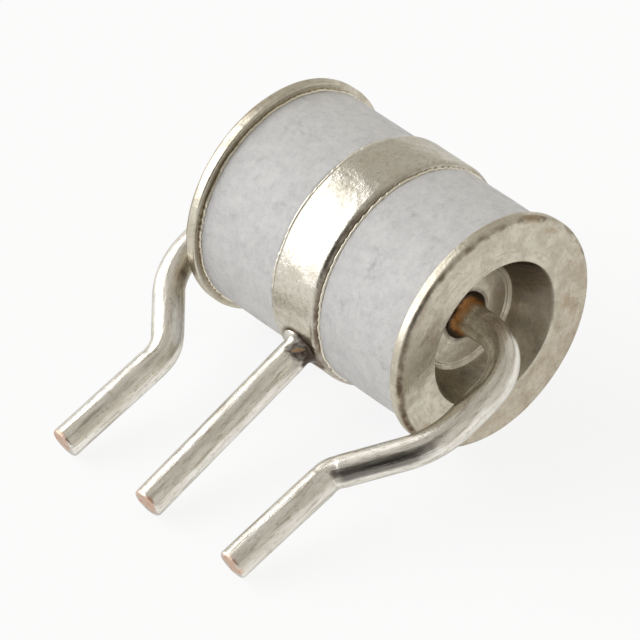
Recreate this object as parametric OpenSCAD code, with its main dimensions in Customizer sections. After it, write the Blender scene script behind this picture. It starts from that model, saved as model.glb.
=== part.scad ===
// Gas discharge tube with three electrodes and formed wire leads.
// The tube's axis runs along X. It lies on the rims of its two end flanges and on the tips of its leads.

/* [Tube] */
// Length over the outer faces of the end electrodes
tube_length = 10; // [9:0.1:12]
// Diameter of the two ceramic sleeves
ceramic_d = 7.5; // [7.2:0.05:8.5]
// Wall of the two ceramic sleeves
ceramic_wall = 0.85; // [0.6:0.05:1.1]
// Thickness of each braze joint
braze_t = 0.1; // [0.05:0.01:0.2]
// How far the braze bead stands out past the ceramic
braze_bead = 0.05; // [0.02:0.01:0.1]

/* [End electrodes] */
// Diameter of the end flanges
flange_d = 8; // [7.6:0.05:9.5]
// Thickness of the end flanges
flange_t = 0.46; // [0.4:0.02:0.6]
// Rounding of the flanges' edge towards the open face
flange_edge = 0.2; // [0.05:0.01:0.25]
// Rounding of the flanges' edge towards the ceramic
flange_back_edge = 0.06; // [0.02:0.01:0.1]
// Diameter of the recess in the flange face
mouth_d = 5; // [4.6:0.05:5.4]
// Rounding of the recess's mouth
mouth_edge = 0.08; // [0.03:0.01:0.12]
// Diameter at which the recess's sloping wall meets its floor
floor_d = 3.6; // [3.2:0.05:4.2]
// Depth of the recess
recess_depth = 1.35; // [0.9:0.05:1.5]
// Rounding between the recess's floor and its wall
floor_fillet = 0.3; // [0.1:0.02:0.4]
// Metal left round the recess behind the flange
cup_wall = 0.38; // [0.25:0.01:0.5]
// Diameter of the discharge face
nose_d = 4.2; // [3.6:0.1:4.6]
// Rounding round the discharge face
nose_edge = 0.3; // [0.1:0.05:0.4]
// Distance from a discharge face to the side of the centre electrode
arc_gap = 0.7; // [0.4:0.05:1.2]
// Clearance between an electrode's neck and the ceramic bore
neck_gap = 0.25; // [0.1:0.05:0.35]

/* [Centre electrode] */
// Outer diameter of the centre electrode
ring_d = 7.85; // [7.6:0.05:9]
// Width of the centre electrode
ring_w = 2; // [1.6:0.1:2.6]
// Rounding of the centre electrode's outer edges
ring_edge = 0.2; // [0.05:0.01:0.3]
// Diameter of the hole through the centre electrode
throat_d = 3.8; // [3:0.1:4.4]
// Width of the centre electrode at its hole
throat_w = 1.2; // [0.8:0.1:1.5]
// Rounding of the hole's edges
throat_edge = 0.25; // [0.05:0.05:0.35]

/* [Coating and stripes] */
// Diameter of the emissive coating in a discharge face
coating_d = 2.8; // [2:0.1:3.2]
// Thickness of the emissive coating
coating_t = 0.2; // [0.1:0.02:0.3]
// Play round the coating's edge
coating_gap = 0.02; // [0.01:0.01:0.05]
// Number of ignition stripes in each ceramic bore
stripe_count = 4; // [2:1:8]
// Width of an ignition stripe
stripe_w = 0.4; // [0.2:0.05:0.6]
// Thickness of an ignition stripe
stripe_t = 0.03; // [0.02:0.01:0.06]
// Bare bore between a stripe and each end of its sleeve
stripe_margin = 0.5; // [0.2:0.05:0.9]

/* [Leads] */
// Diameter of the tinned lead wire
wire_d = 1.05; // [0.8:0.05:1.2]
// Distance from the tube's axis to the tips of the leads
lead_reach = 10.9; // [9.5:0.1:16]
// Distance between neighbouring lead tips
lead_pitch = 3.95; // [3.6:0.05:4.6]
// How far the row of tips lies towards the right end
row_shift = 0.28; // [0:0.02:0.4]
// How much thinner the wire is in a bend, in its radius
bend_thinning = 0.01; // [0.005:0.005:0.02]
// How far the welded foot of an end lead flares out past the wire
end_flare = 0.28; // [0.1:0.02:0.4]
// Length over which an end lead's foot narrows to the wire
end_flare_length = 0.6; // [0.4:0.05:0.8]
// How far the welded foot of the centre lead flares out past the wire
centre_flare = 0.22; // [0.1:0.02:0.3]
// Lean of the centre lead towards the right end, in degrees
centre_lean = 1.6; // [-3:0.1:3]

/* [Left lead] */
// Gap between the left flange's face and its lead
left_gap = 0.3; // [0.3:0.05:1.5]
// Bend where the left lead turns down out of the recess
left_bend = 1.5; // [0.8:0.1:1.8]
// Distance from the flange's rim to the corner of the left lead's inward jog
left_drop = 0.2; // [0.2:0.05:1]
// Slope of the left lead's jog, in degrees
left_jog = 45.5; // [35:0.5:50]
// Bend at the top of the left lead's jog
left_jog_bend = 2.5; // [1:0.1:2.6]
// Bend at the foot of the left lead's jog
left_end_bend = 1.25; // [0.6:0.05:1.6]
// Lean of the left lead's straight end towards the right end, in degrees
left_lean = -2.3; // [-4:0.1:4]

/* [Right lead] */
// Gap between the right flange's face and its lead
right_gap = 0.9; // [0.5:0.05:1.5]
// Bend where the right lead turns down out of the recess
right_bend = 1.8; // [0.8:0.1:2]
// Distance from the flange's rim to the corner of the right lead's inward jog
right_drop = 0; // [0:0.05:1]
// Slope of the right lead's jog, in degrees
right_jog = 37; // [30:0.5:45]
// Bend at the top of the right lead's jog
right_jog_bend = 3; // [1:0.1:3.2]
// Bend at the foot of the right lead's jog
right_end_bend = 0.6; // [0.55:0.05:1.6]
// Lean of the right lead's straight end towards the right end, in degrees
right_lean = -2; // [-4:0.1:4]

/* [Hidden] */
$fn = 64;
// Straight steps in a rounded corner of a turned profile
corner_steps = 6;
nickel = "#bdb8a9";
tin = "#cbc8bf";
ceramic_white = "#d3d2d2";
braze_silver = "#d9cfae";
salt_white = "#e6e2d6";
graphite = "#3a3a3c";

half_length = tube_length / 2;
flange_r = flange_d / 2;
ceramic_r = ceramic_d / 2;
ring_r = ring_d / 2;
wire_r = wire_d / 2;
// Distances along the axis from the middle of the tube, the same towards either end
ring_side = ring_w / 2;
nose_face = ring_side + arc_gap;
sleeve_start = ring_side + braze_t;
flange_back = half_length - flange_t;
sleeve_end = flange_back - braze_t;
recess_floor = half_length - recess_depth;
// The neck clears the ceramic bore, and at the back of the flange it keeps the cup's wall round the recess
bore_r = ceramic_r - ceramic_wall;
neck_r = bore_r - neck_gap;
recess_waist = neck_r - cup_wall;
coating_bed = coating_d / 2 + coating_gap;
// Height of the straight rim below an end lead's flare
foot_rim = 0.05;
// How far a flare's narrow end stands proud of the wire
flare_lip = 0.02;
// Flat left at the middle of a braze bead, each way
bead_land = 0.005;
// How far a bend runs on into the straight wire on each side of it
bend_bite = 0.06;
// At rest the flange rims and the lead tips touch one level surface
tilt = asin(flange_r / norm([lead_reach, wire_r])) - atan2(wire_r, lead_reach);
lead_side = -(lead_reach * cos(tilt) + wire_r * sin(tilt));
rest_place = [(left_gap - right_gap) / 2, -(flange_r + lead_side) / 2, flange_r];

// Points of a corner b, between a and c, rounded to radius r
function rounded(a, b, c, r) =
    let (u = (a - b) / norm(a - b),
         w = (c - b) / norm(c - b),
         half = acos(u * w) / 2,
         middle = b + (u + w) / norm(u + w) * r / sin(half),
         from = b + u * r / tan(half) - middle,
         start = atan2(from.y, from.x),
         turn = sign(cross(u, w)) * (2 * half - 180))
    [for (i = [0 : corner_steps])
        let (angle = start + turn * i / corner_steps)
        middle + r * [cos(angle), sin(angle)]];

// Outline whose corners are [point, radius], with a sharp corner where the radius is 0
function outline(corners) =
    let (count = len(corners))
    [for (i = [0 : count - 1])
        let (here = corners[i])
        each here[1] == 0 ? [here[0]]
            : rounded(corners[(i + count - 1) % count][0], here[0], corners[(i + 1) % count][0], here[1])];

// Lays what is built round the tube's axis down as it comes to rest
module at_rest() {
    translate(rest_place) rotate([tilt, 0, 0]) children();
}

// Turns a profile of (radius, distance along the axis) about the tube's axis
module turned(profile) {
    rotate([90, 0, 90]) rotate_extrude() polygon(profile);
}

// Flanged electrode: recessed outside, drawn into a blunt nose with a coated face inside
module end_electrode() {
    turned(outline([
        [[0, recess_floor], 0],
        [[floor_d / 2, recess_floor], floor_fillet],
        [[recess_waist, flange_back], 0],
        [[mouth_d / 2, half_length], mouth_edge],
        [[flange_r, half_length], flange_edge],
        [[flange_r, flange_back], flange_back_edge],
        [[neck_r, flange_back], 0],
        [[nose_d / 2, nose_face], nose_edge],
        [[coating_bed, nose_face], 0],
        [[coating_bed, nose_face + coating_t], 0],
        [[0, nose_face + coating_t], 0]
    ]));
}

// Annular disc from inner to outer radius, between two places on the axis
module washer(inner_r, outer_r, start, end) {
    turned([[inner_r, start], [outer_r, start], [outer_r, end], [inner_r, end]]);
}

// Braze joint with a rounded bead at its rim
module braze(start) {
    bead_r = ceramic_r + braze_bead;
    edge = min(braze_bead, braze_t / 2 - bead_land);
    turned(outline([
        [[bore_r, start], 0],
        [[bead_r, start], edge],
        [[bead_r, start + braze_t], edge],
        [[bore_r, start + braze_t], 0]
    ]));
}

module ceramic_sleeve() {
    washer(bore_r, ceramic_r, sleeve_start, sleeve_end);
}

module emissive_coating() {
    rotate([0, 90, 0]) translate([0, 0, nose_face]) cylinder(r = coating_d / 2, h = coating_t);
}

// Graphite stripes that run along the bore, clear of both ends
module ignition_stripes() {
    stripe_angle = stripe_w / bore_r * 180 / PI;
    stripe_length = sleeve_end - sleeve_start - 2 * stripe_margin;
    for (i = [0 : stripe_count - 1])
        rotate([i * 360 / stripe_count, 0, 0])
            rotate([90, 0, 90])
                translate([0, 0, sleeve_start + stripe_margin])
                    rotate_extrude(angle = stripe_angle)
                        translate([bore_r - stripe_t, 0]) square([stripe_t, stripe_length]);
}

// Foot of a welded wire: a straight rim, then a hollow flare that narrows to a lip on the wire, base at z = 0
module weld_foot(flare, length, rim) {
    reach = flare - flare_lip;
    hollow = (reach * reach + length * length) / (2 * reach);
    rotate_extrude() difference() {
        square([wire_r + flare, rim + length]);
        translate([wire_r + flare_lip + hollow, rim + length]) circle(r = hollow);
    }
}

// Straight wire from a to b in the plane of the leads
module straight(a, b) {
    run = b - a;
    translate([a.x, a.y, 0])
        rotate([0, 90, atan2(run.y, run.x)])
            cylinder(r = wire_r, h = norm(run));
}

// Wire bent through the corner b, between a and c
module bend(a, b, c, r) {
    u = (a - b) / norm(a - b);
    w = (c - b) / norm(c - b);
    half = acos(u * w) / 2;
    middle = b + (u + w) / norm(u + w) * r / sin(half);
    from = b + (cross(u, w) < 0 ? u : w) * r / tan(half) - middle;
    bite = bend_bite / r * 180 / PI;
    translate([middle.x, middle.y, 0])
        rotate([0, 0, atan2(from.y, from.x) - bite])
            rotate_extrude(angle = 180 - 2 * half + 2 * bite)
                translate([r, 0]) circle(r = wire_r - bend_thinning);
}

// Length that a bend of radius r takes from each side of the corner b
function setback(a, b, c, r) =
    let (half = acos((a - b) * (c - b) / norm(a - b) / norm(c - b)) / 2)
    r / tan(half);

// Wire through the corners, bent at each inner corner to the radius of the same place in bends
module wire(corners, bends) {
    last = len(corners) - 1;
    cuts = [for (i = [0 : last])
        i == 0 || i == last ? 0 : setback(corners[i - 1], corners[i], corners[i + 1], bends[i])];
    for (i = [0 : last - 1]) {
        run = (corners[i + 1] - corners[i]) / norm(corners[i + 1] - corners[i]);
        straight(corners[i] + run * cuts[i], corners[i + 1] - run * cuts[i + 1]);
    }
    for (i = [1 : last - 1])
        bend(corners[i - 1], corners[i], corners[i + 1], bends[i]);
}

// End lead towards +X: out of the recess, down past the flange, in along a jog and on to its tip
module end_lead(gap, out_bend, drop, jog, jog_bend, end_bend, tip, lean) {
    leg = half_length + gap + wire_r;
    jog_top = flange_r + drop;
    // The jog and the straight end, which leans, cross at the foot of the jog
    end_at_top = tip - (lead_reach - jog_top) * tan(lean);
    jog_foot = jog_top + (leg - end_at_top) / (tan(jog) + tan(lean));
    corners = [
        [recess_floor, 0],
        [leg, 0],
        [leg, -jog_top],
        [tip - (lead_reach - jog_foot) * tan(lean), -jog_foot],
        [tip, -lead_reach]
    ];
    wire(corners, [0, out_bend, jog_bend, end_bend, 0]);
    translate([recess_floor, 0, 0]) rotate([0, 90, 0]) weld_foot(end_flare, end_flare_length, foot_rim);
}

module left_end_electrode() {
    color(nickel) at_rest() mirror([1, 0, 0]) end_electrode();
}

module right_end_electrode() {
    color(nickel) at_rest() end_electrode();
}

// Ring that narrows to a rounded throat inside the tube
module centre_electrode() {
    color(nickel) at_rest() turned(outline([
        [[throat_d / 2, -throat_w / 2], throat_edge],
        [[bore_r, -ring_side], 0],
        [[ring_r, -ring_side], ring_edge],
        [[ring_r, ring_side], ring_edge],
        [[bore_r, ring_side], 0],
        [[throat_d / 2, throat_w / 2], throat_edge]
    ]));
}

module left_ceramic_sleeve() {
    color(ceramic_white) at_rest() mirror([1, 0, 0]) ceramic_sleeve();
}

module right_ceramic_sleeve() {
    color(ceramic_white) at_rest() ceramic_sleeve();
}

module left_outer_braze() {
    color(braze_silver) at_rest() mirror([1, 0, 0]) braze(sleeve_end);
}

module left_inner_braze() {
    color(braze_silver) at_rest() mirror([1, 0, 0]) braze(ring_side);
}

module right_inner_braze() {
    color(braze_silver) at_rest() braze(ring_side);
}

module right_outer_braze() {
    color(braze_silver) at_rest() braze(sleeve_end);
}

module left_emissive_coating() {
    color(salt_white) at_rest() mirror([1, 0, 0]) emissive_coating();
}

module right_emissive_coating() {
    color(salt_white) at_rest() emissive_coating();
}

module left_ignition_stripes() {
    color(graphite) at_rest() mirror([1, 0, 0]) ignition_stripes();
}

module right_ignition_stripes() {
    color(graphite) at_rest() ignition_stripes();
}

module left_lead() {
    color(tin) at_rest() mirror([1, 0, 0])
        end_lead(left_gap, left_bend, left_drop, left_jog, left_jog_bend, left_end_bend,
                 lead_pitch - row_shift, -left_lean);
}

// Straight lead whose flared foot is saddled to the ring
module centre_lead() {
    root = [row_shift - lead_reach * tan(centre_lean), 0];
    tip = [row_shift, -lead_reach];
    color(tin) at_rest() difference() {
        union() {
            straight(root, tip);
            translate([root.x, root.y, 0])
                rotate([90, 0, centre_lean])
                    translate([0, 0, ring_r - centre_flare]) weld_foot(centre_flare, centre_flare, centre_flare);
        }
        rotate([0, 90, 0]) cylinder(r = ring_r, h = tube_length, center = true);
    }
}

module right_lead() {
    color(tin) at_rest()
        end_lead(right_gap, right_bend, right_drop, right_jog, right_jog_bend, right_end_bend,
                 lead_pitch + row_shift, right_lean);
}

left_end_electrode();
right_end_electrode();
centre_electrode();
left_ceramic_sleeve();
right_ceramic_sleeve();
left_outer_braze();
left_inner_braze();
right_inner_braze();
right_outer_braze();
left_emissive_coating();
right_emissive_coating();
left_ignition_stripes();
right_ignition_stripes();
left_lead();
centre_lead();
right_lead();
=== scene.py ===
"""Looks of a three-electrode gas discharge tube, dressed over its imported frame.

Sizes are in millimetres and in the tube's own axes: X along the tube towards its right end, the leads along
-Y, and Z square to the plane of the leads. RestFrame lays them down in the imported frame, in metres. Angles
round the tube are in radians from +Y towards +Z.
"""

import logging
import math
from abc import ABC, abstractmethod
from dataclasses import dataclass
from enum import Enum
from typing import Any

import bpy
import numpy as np
from mathutils import Matrix, Vector
from numpy.typing import NDArray


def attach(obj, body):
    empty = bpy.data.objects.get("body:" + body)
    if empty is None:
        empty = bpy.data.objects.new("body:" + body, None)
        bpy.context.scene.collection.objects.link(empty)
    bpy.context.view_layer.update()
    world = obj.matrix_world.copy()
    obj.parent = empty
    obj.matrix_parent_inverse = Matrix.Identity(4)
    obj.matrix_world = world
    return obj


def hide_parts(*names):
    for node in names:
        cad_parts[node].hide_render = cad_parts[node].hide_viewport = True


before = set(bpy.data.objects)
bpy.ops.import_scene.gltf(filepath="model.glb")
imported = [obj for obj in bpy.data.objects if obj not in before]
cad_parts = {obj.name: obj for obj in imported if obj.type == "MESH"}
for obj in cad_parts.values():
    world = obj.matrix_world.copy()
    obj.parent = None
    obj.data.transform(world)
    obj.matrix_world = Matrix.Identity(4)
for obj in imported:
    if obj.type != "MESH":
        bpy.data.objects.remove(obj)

LOG = logging.getLogger("gas_discharge_tube")
Array = NDArray[np.float64]
Colour = tuple[float, float, float]
Corner = tuple[float, float, float]
Span = tuple[float, float]
Arc = tuple[Span, Span]
Socket = bpy.types.NodeSocket
MM = 0.001
TURN = 2 * math.pi
BODY = "root"
ARC_STEP = math.radians(9)
BEND_STEP = math.radians(1)
SHORTEST_STEP = 1e-6


class End(Enum):
    """The two ends of the tube, as the sign of their side along the axis."""

    LEFT = -1
    RIGHT = 1


class Slot(Enum):
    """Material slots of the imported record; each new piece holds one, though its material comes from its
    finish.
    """

    PLATED = "plated_metal"
    ALUMINA = "alumina"
    BRAZE = "silver_braze"
    TINNED = "tinned_wire"


class Mask(Enum):
    """Painted values that a surface carries, for its finish and for painted shade and reflections, from 0 to
    1 at each point.
    """

    # Soil in creases, bends and joints, weld scars, and painted shade and painted dark reflections on edges
    # and steps.
    CREASE = "crease"
    HEAT = "weld_heat"
    COPPER = "copper"
    # Stains, a darker side of a face, and painted shade and painted dark reflections.
    STAIN = "stain"
    # Weld crust on a lead, and painted shade in the end recesses.
    SOOT = "soot"


def smooth(low: float, high: float, value: Array) -> Array:
    """Rises from 0 at low to 1 at high along three t squared less two t cubed."""
    t = np.clip((value - low) / (high - low), 0, 1)
    return t * t * (3 - 2 * t)


def band(rise: Span, fall: Span, value: Array) -> Array:
    """Rises smoothly from 0 to 1 over the first span and falls back to 0 over the second."""
    return smooth(*rise, value) * smooth(fall[1], fall[0], value)


def share(variation: Array) -> Array:
    """A variation of about -1 to 1 as a share from 0 to 1, a half where it is 0."""
    return (0.5 + 0.5 * variation).clip(0, 1)


def ripple(angle: Array, along: Array, rounds: tuple[int, int], pitch: float, seed: int,
           waves: int = 14) -> Array:
    """Uneven, hand-made variation over a surface, about -1 to 1 and closed round the piece.

    Formula: the sum of cosines of (whole number of waves x angle + slope x distance + phase) over the root of
    twice their number, with the numbers, slopes and phases drawn once from a seed.

    Args:
        angle: Angle round the piece, in radians.
        along: Distance along the piece.
        rounds: Fewest and most waves round the piece.
        pitch: Usual length of a wave along the piece.
        seed: Seed of the drawn numbers.
        waves: How many cosines are added.

    Returns:
        The variation at each point of the grid.
    """
    draw = np.random.default_rng(seed)
    turns = draw.integers(rounds[0], rounds[1] + 1, waves)
    slopes = draw.normal(0, TURN / pitch, waves)
    phases = draw.uniform(0, TURN, waves)
    angle, along = np.broadcast_arrays(angle, along)
    phase = np.multiply.outer(turns, angle) + np.multiply.outer(slopes, along) + phases[:, None, None]
    return np.cos(phase).sum(0) / math.sqrt(2 * waves)


def unit(vector: Array) -> Array:
    """Vector of length 1 in the same direction."""
    return vector / np.linalg.norm(vector)


def rounded_path(corners: list[Corner], spacing: float, closed: bool = False,
                 arc_step: float = ARC_STEP) -> Array:
    """Line through corners, each rounded by an arc that is tangent to both its sides.

    Formula: an arc's middle lies on the corner's bisector, radius / sin(half the corner's angle) from the
    corner, and the arc turns by the straight angle less the corner's angle. Straight runs are then cut into
    equal steps.

    Args:
        corners: Corners as (first coordinate, second coordinate, radius), sharp where the radius is 0.
        spacing: Longest step between two points of the line.
        closed: Whether the last corner joins the first.
        arc_step: Largest turn between two points of an arc, in radians.

    Returns:
        Points of the line, one row each, without the first point again at the end.
    """
    places = np.array(corners)[:, :2]
    runs: list[Array] = []
    for i, (_, _, radius) in enumerate(corners):
        here = places[i]
        if radius == 0:
            runs.append(here[None])
            continue
        back = unit(places[i - 1] - here)
        on = unit(places[(i + 1) % len(places)] - here)
        half = math.acos(float(np.clip(back @ on, -1, 1))) / 2
        middle = here + unit(back + on) * radius / math.sin(half)
        first = here + back * radius / math.tan(half) - middle
        turn = (2 * half - math.pi) * math.copysign(1, back[0] * on[1] - back[1] * on[0])
        angle = np.linspace(0, turn, max(4, math.ceil(abs(turn) / arc_step)) + 1)
        cos, sin = np.cos(angle), np.sin(angle)
        runs.append(middle + np.stack([cos * first[0] - sin * first[1], sin * first[0] + cos * first[1]], 1))
    line = np.concatenate(runs + [runs[0][:1]] if closed else runs)
    steps = np.diff(line, axis=0)
    lengths = np.linalg.norm(steps, axis=1)
    kept = lengths > SHORTEST_STEP
    line, steps, lengths = line[:-1][kept], steps[kept], lengths[kept]
    parts = np.ceil(lengths / spacing).astype(int)
    run = np.repeat(np.arange(len(parts)), parts)
    done = (np.arange(len(run)) - np.repeat(np.cumsum(parts) - parts, parts)) / parts[run]
    dense = line[run] + done[:, None] * steps[run]
    return dense if closed else np.concatenate([dense, runs[-1][-1:]])


def run_length(line: Array) -> Array:
    """Distance of each point along the line from its first point."""
    return np.concatenate([[0.0], np.cumsum(np.linalg.norm(np.diff(line, axis=0), axis=1))])


def put(name: str, data: Any) -> bpy.types.Object:
    """Puts a mesh, a lamp or a camera into the scene as a new object.

    Args:
        name: Name of the object.
        data: What the object shows.

    Returns:
        The object.
    """
    made = bpy.data.objects.new(name, data)
    bpy.context.scene.collection.objects.link(made)
    return made


@dataclass(frozen=True)
class RestFrame:
    """Where the tube's own axes lie when it rests on its flange rims and lead tips."""

    flange_r: float = 4.0
    lead_reach: float = 10.9
    wire_r: float = 0.525
    left_gap: float = 0.3
    right_gap: float = 0.9

    def tilt(self) -> float:
        """Angle that the plane of the leads slopes down by, in radians."""
        sink = math.asin(self.flange_r / math.hypot(self.lead_reach, self.wire_r))
        return sink - math.atan2(self.wire_r, self.lead_reach)

    def turn(self) -> Array:
        """Rotation about the tube's axis, as a 3 x 3 matrix."""
        cos, sin = math.cos(self.tilt()), math.sin(self.tilt())
        return np.array([[1, 0, 0], [0, cos, -sin], [0, sin, cos]])

    def place(self, points: Array) -> Array:
        """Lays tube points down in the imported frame.

        Args:
            points: Points in tube millimetres, in any grid whose last axis is x, y, z.

        Returns:
            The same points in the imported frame, in metres.
        """
        tilt = self.tilt()
        tip_side = -(self.lead_reach * math.cos(tilt) + self.wire_r * math.sin(tilt))
        x, y = (self.left_gap - self.right_gap) / 2, -(self.flange_r + tip_side) / 2
        return (points @ self.turn().T + np.array([x, y, self.flange_r])) * MM


@dataclass
class Surface:
    """A grid of points, closed round its columns, with its map coordinates and masks.

    The rows either close on themselves, as round the section of a ring, or end in a pole at each side.
    """

    points: Array
    around: Array
    along: Array
    masks: dict[Mask, Array]
    ring_section: bool

    def faces(self) -> tuple[Array, list[tuple[Array, Array]]]:
        """Faces of the grid, pointing outwards.

        Formula: each cell of the grid is a face from its own corner to the next row and column, and the first
        and last rows of a polar grid shrink to one point each. The order of the corners is turned round if
        the enclosed volume, a sixth of the summed triple products, is negative.

        Returns:
            Which points of the grid are used, then groups of faces with the map coordinates of their corners.
        """
        rows, columns = self.points.shape[:2]
        index = np.arange(rows * columns).reshape(rows, columns)
        if not self.ring_section:
            index[0], index[-1] = index[0, 0], index[-1, 0]
        used, index = np.unique(index, return_inverse=True)
        index = index.reshape(rows, columns)
        near = index if self.ring_section else index[:-1]
        far = np.roll(index, -1, 0) if self.ring_section else index[1:]
        cells = np.stack([near, np.roll(near, -1, 1), np.roll(far, -1, 1), far], -1)
        low, high = np.broadcast_arrays(self.along[:-1, None], self.along[1:, None])
        left, right = np.broadcast_arrays(self.around[None, :-1], self.around[None, 1:])
        flat = np.zeros(cells.shape + (2,))
        flat[..., 0] = np.stack(np.broadcast_arrays(left, right, right, left), -1)
        flat[..., 1] = np.stack(np.broadcast_arrays(low, low, high, high), -1)
        if self.ring_section:
            groups = [(cells.reshape(-1, 4), flat.reshape(-1, 4, 2))]
        else:
            groups = [(cells[1:-1].reshape(-1, 4), flat[1:-1].reshape(-1, 4, 2)),
                      (cells[0][:, [0, 2, 3]], flat[0][:, [0, 2, 3]]), (cells[-1][:, :3], flat[-1][:, :3])]
        corners = self.points.reshape(-1, 3)[used]
        volume = sum(np.einsum("ij,ij->", corners[f[:, 0]], np.cross(corners[f[:, k]], corners[f[:, k + 1]]))
                     for f, _ in groups for k in range(1, f.shape[1] - 1))
        if volume < 0:
            groups = [(f[:, ::-1], uv[:, ::-1]) for f, uv in groups]
        return used, groups

    def mesh(self, name: str, rest: RestFrame) -> bpy.types.Mesh:
        """Puts the grid into a mesh.

        Args:
            name: Name of the mesh.
            rest: Where the tube lies.

        Returns:
            The mesh, smooth, with a UV map in millimetres and one attribute for each mask.
        """
        used, groups = self.faces()
        corners = self.points.reshape(-1, 3)[used]
        sides = np.concatenate([np.full(len(f), f.shape[1]) for f, _ in groups])
        loops = np.concatenate([f.ravel() for f, _ in groups])
        mesh = bpy.data.meshes.new(name)
        mesh.vertices.add(len(corners))
        mesh.vertices.foreach_set("co", rest.place(corners).astype(np.float32).ravel())
        mesh.loops.add(len(loops))
        mesh.loops.foreach_set("vertex_index", loops.astype(np.int32))
        mesh.polygons.add(len(sides))
        mesh.polygons.foreach_set("loop_start", (np.cumsum(sides) - sides).astype(np.int32))
        mesh.polygons.foreach_set("use_smooth", np.ones(len(sides), bool))
        mesh.update(calc_edges=True)
        layer = mesh.uv_layers.new(name="UVMap")
        layer.data.foreach_set("uv", np.concatenate([uv.ravel() for _, uv in groups]).astype(np.float32))
        for mask, values in self.masks.items():
            painted = np.broadcast_to(values, self.points.shape[:2]).reshape(-1)[used]
            held = mesh.attributes.new(mask.value, "FLOAT", "POINT")
            held.data.foreach_set("value", np.clip(painted, 0, 1).astype(np.float32))
        return mesh


class Sheet:
    """A node tree being drawn, with short calls for the nodes that the finishes use."""

    def __init__(self, tree: bpy.types.NodeTree) -> None:
        """Starts on an empty tree."""
        self.tree = tree
        self.tree.nodes.clear()

    def feed(self, socket: Socket, value: Any) -> None:
        """Links a socket to another socket, or sets its value.

        Args:
            socket: Input to feed.
            value: Socket to link from, or a plain value.
        """
        if isinstance(value, Socket):
            self.tree.links.new(value, socket)
        elif socket.type == "RGBA":
            socket.default_value = (*value, 1.0)
        else:
            socket.default_value = value

    def node(self, kind: str, inputs: dict[Any, Any] | None = None, **settings: Any) -> bpy.types.Node:
        """Adds a node.

        Args:
            kind: Type of shader node, without its prefix.
            inputs: Values or sockets for its inputs, by name or number.
            settings: Settings of the node itself.

        Returns:
            The node.
        """
        made = self.tree.nodes.new("ShaderNode" + kind)
        for key, value in settings.items():
            setattr(made, key, value)
        for key, value in (inputs or {}).items():
            self.feed(made.inputs[key], value)
        return made

    def millimetres(self) -> Socket:
        """Object coordinates in millimetres."""
        place = self.node("TexCoord").outputs["Object"]
        return self.node("Mapping", {"Vector": place, "Scale": (1 / MM,) * 3}).outputs["Vector"]

    def unrolled(self, scale: Span) -> Socket:
        """The piece's own UV map, stretched by a scale round it and one along it."""
        flat = self.node("UVMap").outputs["UV"]
        return self.node("Mapping", {"Vector": flat, "Scale": (*scale, 1)}).outputs["Vector"]

    def mask(self, mask: Mask) -> Socket:
        """A mask that the surface carries."""
        return self.node("Attribute", attribute_name=mask.value).outputs["Fac"]

    def math(self, operation: str, a: Any, b: Any) -> Socket:
        """Result of a sum on two values."""
        return self.node("Math", {0: a, 1: b}, operation=operation).outputs[0]

    def add(self, a: Any, b: Any) -> Socket:
        """The two values together."""
        return self.math("ADD", a, b)

    def times(self, a: Any, b: Any) -> Socket:
        """One value times the other."""
        return self.math("MULTIPLY", a, b)

    def noise(self, place: Any, scale: Any, detail: float, rough: float, twist: float = 0.0) -> Socket:
        """Value of a noise field."""
        inputs = {"Vector": place, "Scale": scale, "Detail": detail, "Roughness": rough, "Distortion": twist}
        return self.node("TexNoise", inputs).outputs[0]

    def spread(self, value: Any, low: float, high: float, to_low: float = 0.0,
               to_high: float = 1.0) -> Socket:
        """Smooth rise from to_low to to_high as the value goes from low to high."""
        inputs = {"Value": value, "From Min": low, "From Max": high, "To Min": to_low, "To Max": to_high}
        return self.node("MapRange", inputs, interpolation_type="SMOOTHSTEP").outputs["Result"]

    def blend(self, factor: Any, a: Any, b: Any) -> Socket:
        """Colour between a and b."""
        return self.node("Mix", {0: factor, 6: a, 7: b}, data_type="RGBA").outputs[2]

    def coat(self, colour: Any, *coats: tuple[Any, Any]) -> Socket:
        """Lays coats over a colour.

        Args:
            colour: Colour under the coats.
            coats: How far each coat covers and its colour, from the lowest up.

        Returns:
            The colour that shows.
        """
        for factor, tone in coats:
            colour = self.blend(factor, colour, tone)
        return colour

    def effect(self, effect: "type[Effect]", **inputs: Any) -> dict[str, Socket]:
        """Places a shared effect.

        Args:
            effect: The effect.
            inputs: Values or sockets for its inputs, by name.

        Returns:
            Its outputs, by name.
        """
        placed = self.node("Group", node_tree=effect.tree())
        for key, value in inputs.items():
            self.feed(placed.inputs[key], value)
        return {socket.name: socket for socket in placed.outputs}

    def bump(self, height: Any, depth: float = 1.0) -> Socket:
        """Normal of a surface raised by the height times a depth in millimetres."""
        inputs = {"Height": height, "Distance": depth * MM, "Strength": 1.0}
        return self.node("Bump", inputs).outputs["Normal"]


def blank_material(name: str) -> tuple[bpy.types.Material, Sheet]:
    """Starts a node material.

    Args:
        name: Name of the material.

    Returns:
        The material and the empty sheet of its tree.
    """
    material = bpy.data.materials.new(name)
    material.use_nodes = True
    return material, Sheet(material.node_tree)


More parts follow.
